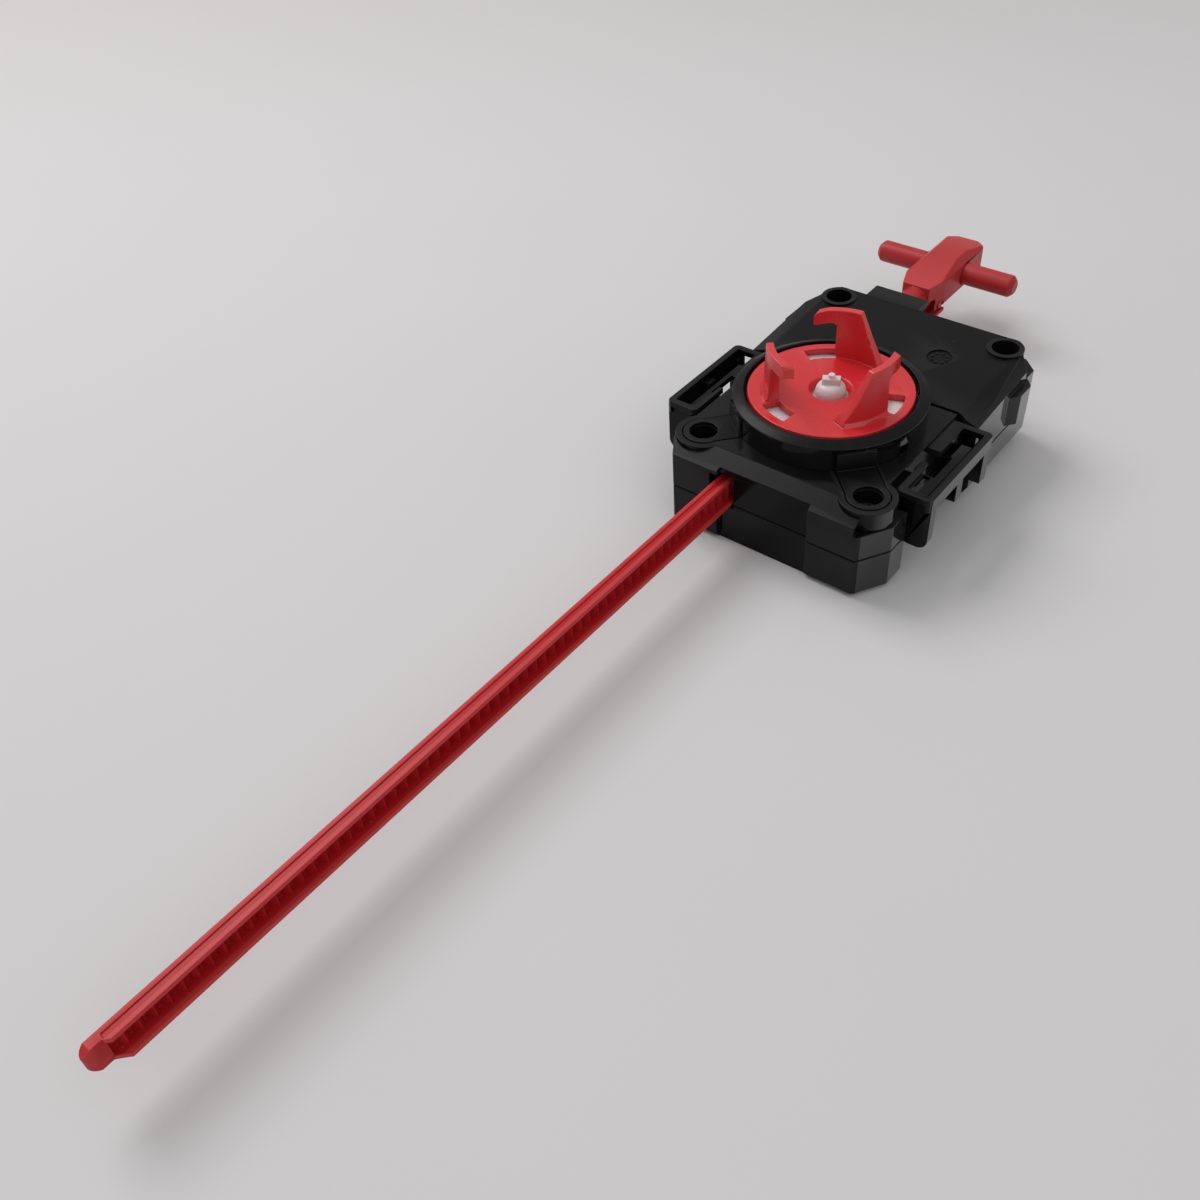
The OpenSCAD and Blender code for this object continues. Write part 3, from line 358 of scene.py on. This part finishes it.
def put(name, mesh, body, slot, *stands_for):
    """A finished piece that rides on a body, in place of some solids."""
    piece = bpy.data.objects.new(name, mesh)
    bpy.context.scene.collection.objects.link(piece)
    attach(piece, body)
    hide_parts(*stands_for)
    return piece


def smooth(mesh, angle):
    """Shades a mesh smooth, apart from edges that turn by more than angle."""
    mesh.shade_smooth()
    mesh.set_sharp_from_angle(angle=angle)


def whole_faces(mesh):
    """Joins a mesh's loose triangles into whole flat faces, and shades it smooth between edges."""
    for old in [a for a in mesh.attributes if a.name == "custom_normal"]:
        mesh.attributes.remove(old)
    work = bmesh.new()
    work.from_mesh(mesh)
    bmesh.ops.remove_doubles(work, verts=work.verts, dist=MERGE_GAP * MM)
    bmesh.ops.dissolve_limit(
        work, angle_limit=FLAT_ANGLE, verts=work.verts, edges=work.edges, delimit={"NORMAL"})
    work.to_mesh(mesh)
    work.free()
    smooth(mesh, EDGE_ANGLE)


def rounded(piece, width):
    """Rounds a piece's sharp edges by width, as a mould does."""
    bevel = piece.modifiers.new("mould_rounding", "BEVEL")
    bevel.width = width * MM
    bevel.segments = ROUNDING_STEPS
    bevel.limit_method = "ANGLE"
    bevel.angle_limit = EDGE_ANGLE
    bevel.use_clamp_overlap = False
    bevel.harden_normals = True
    bevel.miter_outer = "MITER_ARC"


def as_seen(holder):
    """The plain mesh that an object's modifiers make of its own."""
    seen = holder.evaluated_get(bpy.context.evaluated_depsgraph_get())
    return bpy.data.meshes.new_from_object(seen)


def settled(piece, width):
    """Makes a piece's rounding part of its mesh.

    Points that the rounding threw off the plain shape are put back on it.
    """
    plain = piece.data
    made = as_seen(piece)
    skin = BVHTree.FromPolygons(
        [vertex.co for vertex in plain.vertices], [tuple(face.vertices) for face in plain.polygons])
    for vertex in made.vertices:
        near, _, _, gap = skin.find_nearest(vertex.co)
        if gap > THROWN_SHARE * width * MM:
            vertex.co = near
    made.name = plain.name
    piece.modifiers.clear()
    piece.data = made


def moulded(node, material, width):
    """A node's own shape, with rounded edges and a finish."""
    mesh = nodes[node].data.copy()
    mesh.name = node + "_moulding"
    whole_faces(mesh)
    mesh.materials.clear()
    mesh.materials.append(material)
    piece = put(node + "_moulding", mesh, nodes[node]["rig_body"], slot_of[node], node)
    rounded(piece, width)
    settled(piece, width)


MOULDINGS = {
    "lower_case": (casing_black, 0.2),
    "upper_case": (casing_black, 0.16),
    "rear_cover": (cover_black, 0.06),
    "launch_ring": (ring_black, 0.16),
    "left_side_rail": (rail_black, 0.1),
    "right_side_rail": (rail_black, 0.1),
    "hub_disc": (hub_red, 0.2),
    "lock_plunger": (milky_pin, 0.1),
    "handle_block": (handle_red, 0.3),
    "handle_bar": (handle_red, 0.3),
}
for node_name, (material, width) in MOULDINGS.items():
    moulded(node_name, material, width)

FINISHED = {
    "gear_axle": bright_steel,
    "spindle_clip": bright_steel,
    "thrust_washer": bright_steel,
    "upper_bush": bush_bronze,
    "lower_bush": bush_bronze,
    "step_gear": gear_plastic,
    "hub_gear": gear_plastic,
    "hub_spindle": gear_plastic,
    "handle_pin": handle_red,
}
for node_name, material in FINISHED.items():
    nodes[node_name].material_slots[0].material = material


# Pieces that repeat or follow a path

QUARTER_TURN = math.pi / 2


class Build(Graph):
    """A geometry tree with named inputs for its sizes."""

    def __init__(self, name, **sizes):
        tree = bpy.data.node_groups.new(name, "GeometryNodeTree")
        super().__init__(tree)
        tree.interface.new_socket("Geometry", in_out="INPUT", socket_type="NodeSocketGeometry")
        for label, value in sizes.items():
            kind = "NodeSocketMaterial" if label == "finish" else "NodeSocketFloat"
            if isinstance(value, int):
                kind = "NodeSocketInt"
            tree.interface.new_socket(label, in_out="INPUT", socket_type=kind)
        tree.interface.new_socket("Geometry", in_out="OUTPUT", socket_type="NodeSocketGeometry")
        self.sizes = sizes
        self.given = self.node("NodeGroupInput")

    def size(self, label):
        return Reading(self, self.given.outputs[label])

    def vector(self, x=0.0, y=0.0, z=0.0):
        return self.read("ShaderNodeCombineXYZ", None, {0: x, 1: y, 2: z})

    def moved(self, shape, at):
        return self.read("GeometryNodeTransform", None, {"Geometry": shape, "Translation": at})

    def turned(self, shape, angle):
        """A shape turned about its Z axis."""
        return self.read(
            "GeometryNodeTransform", None, {"Geometry": shape, "Rotation": (0.0, 0.0, angle)})

    def joined(self, *shapes):
        return self.read("GeometryNodeJoinGeometry", None, {0: list(reversed(shapes))})

    def boolean(self, operation, feeds):
        settings = {"operation": operation, "solver": "EXACT"}
        return self.read("GeometryNodeMeshBoolean", settings, feeds)

    def wound(self, steps, turns, radius, height, sides, wire):
        """A wire of the radius wire, wound into a helix that rises from the origin."""
        path = self.read(
            "GeometryNodeCurveSpiral", None,
            {"Resolution": steps, "Rotations": turns, "Start Radius": radius,
             "End Radius": radius, "Height": height})
        section = self.read(
            "GeometryNodeCurvePrimitiveCircle", {"mode": "RADIUS"},
            {"Resolution": sides, "Radius": wire})
        return self.read(
            "GeometryNodeCurveToMesh", None,
            {"Curve": path, "Profile Curve": section, "Fill Caps": True})

    def end(self, shape):
        """Ends the tree in real faces of one material."""
        real = self.read("GeometryNodeRealizeInstances", None, {0: shape})
        done = self.read(
            "GeometryNodeSetMaterial", None, {"Geometry": real, "Material": self.size("finish")})
        self.node("NodeGroupOutput", None, {0: done})

    def run(self, mesh):
        """The plain mesh that the tree makes of a given one."""
        holder = bpy.data.objects.new(self.tree.name, mesh)
        bpy.context.scene.collection.objects.link(holder)
        modifier = holder.modifiers.new(self.tree.name, "NODES")
        modifier.node_group = self.tree
        for item in self.tree.interface.items_tree:
            if item.in_out == "INPUT" and item.name in self.sizes:
                modifier[item.identifier] = self.sizes[item.name]
        made = as_seen(holder)
        made.name = self.tree.name
        bpy.data.objects.remove(holder)
        return made


def prism(work, rings):
    """Closes a skin over rings of points, one ring per station."""
    rows = [[work.verts.new(Vector(p) * MM) for p in ring] for ring in rings]
    for row, after in zip(rows, rows[1:]):
        for k in range(len(row)):
            n = (k + 1) % len(row)
            work.faces.new((row[k], row[n], after[n], after[k]))
    work.faces.new(list(reversed(rows[0])))
    work.faces.new(rows[-1])


def plain_mesh(name, work):
    bmesh.ops.recalc_face_normals(work, faces=work.faces)
    mesh = bpy.data.meshes.new(name)
    work.to_mesh(mesh)
    work.free()
    return mesh


# Winder: a channel with a grooved back, a rounded nose and a tooth at every pitch

rack_low, rack_high = (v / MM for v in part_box("winder_rack"))
TOOTH_MODULE = 0.85
TOOTH_PITCH = math.pi * TOOTH_MODULE
TOOTH_COUNT = 88
FIRST_TOOTH = -184.59
TOOTH_TIP = 2.785
TOOTH_TIP_W = 0.49
TOOTH_FLANK = math.tan(math.radians(25))
TOOTH_FOOT = 0.5
BACK = 1.0
FLANGE = 1.0
TOP_FLANGE_W = 3.0
GROOVE_NEAR = 1.0
GROOVE_FAR = 2.0
GROOVE_DEPTH = 0.25
NOSE_LEN = 3.6
NOSE_W = 2.02
NOSE_CUT = 1.5
NOSE_TIP = 0.2
NOSE_LIP = 0.1
NOSE_ROOT = 0.4
NOSE_STEPS = 6
WINDER_ROUNDING = 0.12


def channel_ring(y, reach):
    """The channel's section at y, whose flanges reach no further than reach from its back."""
    x0, z0, z1 = rack_low.x, rack_low.z, rack_high.z
    low_x = x0 + min(rack_high.x - rack_low.x, reach)
    top_x = x0 + min(TOP_FLANGE_W, reach)
    groove_z = z1 - GROOVE_DEPTH
    points = [
        (x0, z0), (low_x, z0), (low_x, z0 + FLANGE), (x0 + BACK, z0 + FLANGE),
        (x0 + BACK, z1 - FLANGE), (top_x, z1 - FLANGE), (top_x, z1),
        (x0 + GROOVE_FAR, z1), (x0 + GROOVE_FAR, groove_z),
        (x0 + GROOVE_NEAR, groove_z), (x0 + GROOVE_NEAR, z1), (x0, z1)]
    return [(x, y, z) for x, z in points]


def nose_ring(y, half, cut):
    """The nose's section at y, as wide as twice half and cut at top and bottom."""
    mid = rack_low.x + NOSE_W / 2
    z0, z1 = rack_low.z + cut, rack_high.z - cut
    return [(mid - half, y, z0), (mid + half, y, z0), (mid + half, y, z1), (mid - half, y, z1)]


def winder_strip():
    """The channel and its nose, before the teeth."""
    work = bmesh.new()
    front = rack_low.y + NOSE_LEN
    width = rack_high.x - rack_low.x
    slant = width / 2
    stations = [
        (0, NOSE_W + NOSE_LIP),
        (slant * (TOP_FLANGE_W - NOSE_W) / (width - NOSE_W), TOP_FLANGE_W),
        (slant, width)]
    rings = [channel_ring(front + y, reach) for y, reach in stations]
    prism(work, rings + [channel_ring(rack_high.y, width)])
    half = NOSE_W / 2
    rings = []
    for k in range(NOSE_STEPS + 1):
        turn = QUARTER_TURN * k / NOSE_STEPS
        back = half * (1 - math.cos(turn))
        side = max(half * math.sin(turn), NOSE_TIP)
        rings.append(nose_ring(rack_low.y + back, side, max(NOSE_CUT - back, 0)))
    rings.append(nose_ring(rack_low.y + NOSE_CUT, half, 0))
    prism(work, rings + [nose_ring(front + NOSE_ROOT, half, 0)])
    return plain_mesh("winder_strip", work)


def winder():
    """Adds the teeth to the strip, one at every pitch, as one skin."""
    depth = TOOTH_TIP - BACK + TOOTH_FOOT
    tree = Build(
        "winder_teeth", count=TOOTH_COUNT, pitch=TOOTH_PITCH * MM, depth=depth * MM,
        tip_width=TOOTH_TIP_W * MM, foot_width=(TOOTH_TIP_W + 2 * depth * TOOTH_FLANK) * MM,
        height=(rack_high.z - rack_low.z - FLANGE) * MM, first_y=FIRST_TOOTH * MM,
        middle_x=(rack_low.x + TOOTH_TIP - depth / 2) * MM,
        low_z=(rack_low.z + FLANGE / 2) * MM, finish=winder_red)
    outline = tree.read(
        "GeometryNodeCurvePrimitiveQuadrilateral", {"mode": "TRAPEZOID"},
        {"Height": tree.size("depth"), "Bottom Width": tree.size("foot_width"),
         "Top Width": tree.size("tip_width"), "Offset": 0.0})
    face = tree.read("GeometryNodeFillCurve", {"mode": "NGONS"}, {0: outline})
    walls = tree.read(
        "GeometryNodeExtrudeMesh", None,
        {"Mesh": face, "Offset": tree.vector(z=1.0), "Offset Scale": tree.size("height"),
         "Individual": False})
    base = tree.read("GeometryNodeFlipFaces", None, {0: face})
    tooth = tree.read("GeometryNodeMergeByDistance", None, {0: tree.joined(walls, base)})
    tooth = tree.turned(tooth, -QUARTER_TURN)
    start = tree.vector(tree.size("middle_x"), tree.size("first_y"), tree.size("low_z"))
    line = tree.read(
        "GeometryNodeMeshLine", {"mode": "OFFSET"},
        {"Count": tree.size("count"), "Start Location": start,
         "Offset": tree.vector(y=tree.size("pitch"))})
    teeth = tree.read("GeometryNodeInstanceOnPoints", None, {"Points": line, "Instance": tooth})
    teeth = tree.read("GeometryNodeRealizeInstances", None, {0: teeth})
    tree.end(tree.boolean(
        "UNION", {"Mesh 2": [tree.size("Geometry"), teeth], "Self Intersection": True}))
    mesh = tree.run(winder_strip())
    whole_faces(mesh)
    piece = put("winder_strip", mesh, "winder", "winder_red", "winder_rack")
    rounded(piece, WINDER_ROUNDING)


winder()


# Screws: a pan head with a cross recess, and a thread wound round its shank

HEAD_R = 2.7
HEAD_H = 1.7
SHANK_R = 1.3
RECESS_W = 0.75
THREAD_PITCH = 1.0
THREAD_H = 0.22
HEAD_SIDES = 48
CORE_SIDES = 32
RIDGE_SIDES = 4
THREAD_STEPS = 20

# Shares of the head's height, then of its radius, then of the thread's height
RIM_H_SHARE = 0.6
RIM_MIDDLE_SHARE = 0.7
CROWN_H_SHARE = 0.45
CORE_TOP_SHARE = 0.7
RECESS_H_SHARE = 1.1
CROWN_TOP_SHARE = 0.78
CROWN_FOOT_SHARE = 0.998
RECESS_LEN_SHARE = 1.25
RIDGE_SHARE = 0.9


def screw_set(node, places):
    """Screws of one kind, standing at the given places under the top of their node."""
    low, high = (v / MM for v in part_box(node))
    tree = Build(
        node + "_set", head_radius=HEAD_R * MM, head_height=HEAD_H * MM, shank_radius=SHANK_R * MM,
        length=(high.z - low.z) * MM, recess=RECESS_W * MM, thread=THREAD_H * MM,
        turns=(high.z - low.z - HEAD_H - 2 * THREAD_H) / THREAD_PITCH, finish=dark_steel)
    head_r, head_h = tree.size("head_radius"), tree.size("head_height")
    length, shank = tree.size("length"), tree.size("shank_radius")
    thread_h = tree.size("thread")
    rim = tree.read(
        "GeometryNodeMeshCylinder", None,
        {"Vertices": HEAD_SIDES, "Radius": head_r, "Depth": head_h * RIM_H_SHARE})
    rim = tree.moved(rim, tree.vector(z=head_h * -RIM_MIDDLE_SHARE))
    crown = tree.read(
        "GeometryNodeMeshCone", None,
        {"Vertices": HEAD_SIDES, "Side Segments": 1, "Radius Top": head_r * CROWN_TOP_SHARE,
         "Radius Bottom": head_r * CROWN_FOOT_SHARE, "Depth": head_h * CROWN_H_SHARE})
    crown = tree.moved(crown, tree.vector(z=head_h * -CROWN_H_SHARE))
    core = tree.read(
        "GeometryNodeMeshCylinder", None,
        {"Vertices": CORE_SIDES, "Radius": shank - thread_h,
         "Depth": length - head_h * CORE_TOP_SHARE})
    core = tree.moved(core, tree.vector(z=(length + head_h * CORE_TOP_SHARE) * -0.5))
    body = tree.boolean("UNION", {"Mesh 2": [rim, crown, core]})
    arm_size = tree.vector(
        tree.size("recess"), head_r * RECESS_LEN_SHARE, head_h * RECESS_H_SHARE)
    arm = tree.read("GeometryNodeMeshCube", None, {"Size": arm_size})
    cross = tree.joined(arm, tree.turned(arm, QUARTER_TURN))
    cross = tree.boolean("UNION", {"Mesh 2": cross, "Self Intersection": True})
    body = tree.boolean("DIFFERENCE", {"Mesh 1": body, "Mesh 2": cross})
    thread = tree.wound(
        THREAD_STEPS, tree.size("turns"), shank - thread_h * RIDGE_SHARE,
        length - head_h - thread_h * 2.0, RIDGE_SIDES, thread_h * RIDGE_SHARE)
    thread = tree.moved(thread, tree.vector(z=thread_h - length))
    screw = tree.joined(body, thread)
    tree.end(tree.read(
        "GeometryNodeInstanceOnPoints", None,
        {"Points": tree.size("Geometry"), "Instance": screw}))
    marks = bpy.data.meshes.new(node + "_places")
    marks.from_pydata([Vector((x, y, high.z)) * MM for x, y in places], [], [])
    mesh = tree.run(marks)
    smooth(mesh, EDGE_ANGLE)
    put(node + "_set", mesh, "casing", "steel", node)


def screw_places(node):
    """The two screws of a node stand a head's radius inside its box."""
    low, high = (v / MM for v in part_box(node))
    inset = (high.y - low.y) / 2
    return [(low.x + inset, low.y + inset), (high.x - inset, low.y + inset)]


for node_name in ("front_screws", "rear_screws"):
    screw_set(node_name, screw_places(node_name))


# Spring under the plunger: one round wire

WIRE_R = 0.27
WIRE_SIDES = 12
SPRING_TURNS = 5.0
COIL_STEPS = 40
COIL_EDGE_ANGLE = math.radians(50)


def plunger_spring():
    low, high = (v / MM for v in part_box("plunger_spring"))
    radius = (high.x - low.x) / 2 - WIRE_R
    tree = Build(
        "plunger_coil", wire=WIRE_R * MM, radius=radius * MM, turns=SPRING_TURNS,
        height=(high.z - low.z - 2 * WIRE_R) * MM, foot=(low.z + WIRE_R) * MM, finish=bright_steel)
    coil = tree.wound(
        COIL_STEPS, tree.size("turns"), tree.size("radius"), tree.size("height"),
        WIRE_SIDES, tree.size("wire"))
    tree.end(tree.moved(coil, tree.vector(z=tree.size("foot"))))
    mesh = tree.run(bpy.data.meshes.new("coil_seat"))
    smooth(mesh, COIL_EDGE_ANGLE)
    piece = put("plunger_coil", mesh, "hub", "steel", "plunger_spring")
    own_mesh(piece)


plunger_spring()


# Studio, in metres

FLOOR_SPAN = 3.0
FLOOR_TURN = math.radians(-42.3)
FLOOR_GLOSS = 0.7
FLOOR_TONE_ROUGH = 0.1
LIT_PLACE = (0.0, -0.03, 0.0)


def studio_floor():
    """A pale sheet with painted shade that makes it a little darker further from the camera."""
    span = FLOOR_SPAN
    mesh = bpy.data.meshes.new("floor_sheet")
    corners = [(-span, -span, 0), (span, -span, 0), (span, span, 0), (-span, span, 0)]
    mesh.from_pydata(corners, [], [(0, 1, 2, 3)])
    floor = bpy.data.objects.new("floor_sheet", mesh)
    bpy.context.scene.collection.objects.link(floor)
    finish = Finish("pale_sheet", ior=1.35)
    turned = finish.read(
        "ShaderNodeMapping", None,
        {"Vector": finish.place, "Rotation": (0.0, 0.0, FLOOR_TURN)})
    # Painted shade: the floor colour darkens with distance from the camera
    far_shade = finish.part(turned, "Y").ease(low=0.1, high=0.55)
    tone = finish.noise(grain=60, detail=2)
    near = finish.blend(tone, shade(0.585, 0.575, 0.58), shade(0.6, 0.59, 0.595))
    finish.paint(
        base_color=finish.blend(far_shade, near, shade(0.5, 0.485, 0.475)),
        roughness=FLOOR_GLOSS + FLOOR_TONE_ROUGH * tone)
    mesh.materials.append(finish.material)


def lamp(name, at, size, watts):
    """A square panel that lights the launcher."""
    light = bpy.data.lights.new(name, "AREA")
    light.size = size
    light.energy = watts
    made = bpy.data.objects.new(name, light)
    bpy.context.scene.collection.objects.link(made)
    made.location = at
    made.rotation_euler = (Vector(LIT_PLACE) - Vector(at)).to_track_quat("-Z", "Y").to_euler()


def studio_light():
    """A room that is brighter overhead, a soft panel on the left and a weak one on the right."""
    world = bpy.data.worlds.new("soft_room")
    bpy.context.scene.world = world
    world.use_nodes = True
    room = Graph(world.node_tree)
    up = room.part(room.read("ShaderNodeTexCoord", output="Generated"), "Z")
    tint = room.blend(
        up.ease(low=0.0, high=1.0), shade(0.3, 0.298, 0.296), shade(0.7, 0.697, 0.694))
    sky = room.read("ShaderNodeBackground", None, {"Color": tint, "Strength": 1.0})
    room.node("ShaderNodeOutputWorld", None, {"Surface": sky})
    lamp("key_panel", at=(-0.75, 0.05, 0.85), size=0.6, watts=6.6)
    lamp("side_panel", at=(0.7, -0.3, 0.8), size=0.8, watts=1.4)


def photo_camera():
    """The camera at the photograph's place, worked out from points of the object."""
    place = (0.109818, -0.201397, 0.17988)
    right = Vector((0.77754, 0.62549, -0.06479))
    down = Vector((0.39399, -0.56488, -0.72504))
    ahead = Vector((-0.49011, 0.53822, -0.68565))
    data = bpy.data.cameras.new("photo_camera")
    data.sensor_width = 36.0
    data.lens = 36.617
    data.clip_start = 0.01
    camera = bpy.data.objects.new("photo_camera", data)
    bpy.context.scene.collection.objects.link(camera)
    turn = Matrix((right, -down, -ahead)).transposed()
    camera.matrix_world = Matrix.Translation(place) @ turn.to_4x4()
    bpy.context.scene.camera = camera


studio_floor()
studio_light()
photo_camera()
bpy.context.scene.view_settings.view_transform = "Standard"
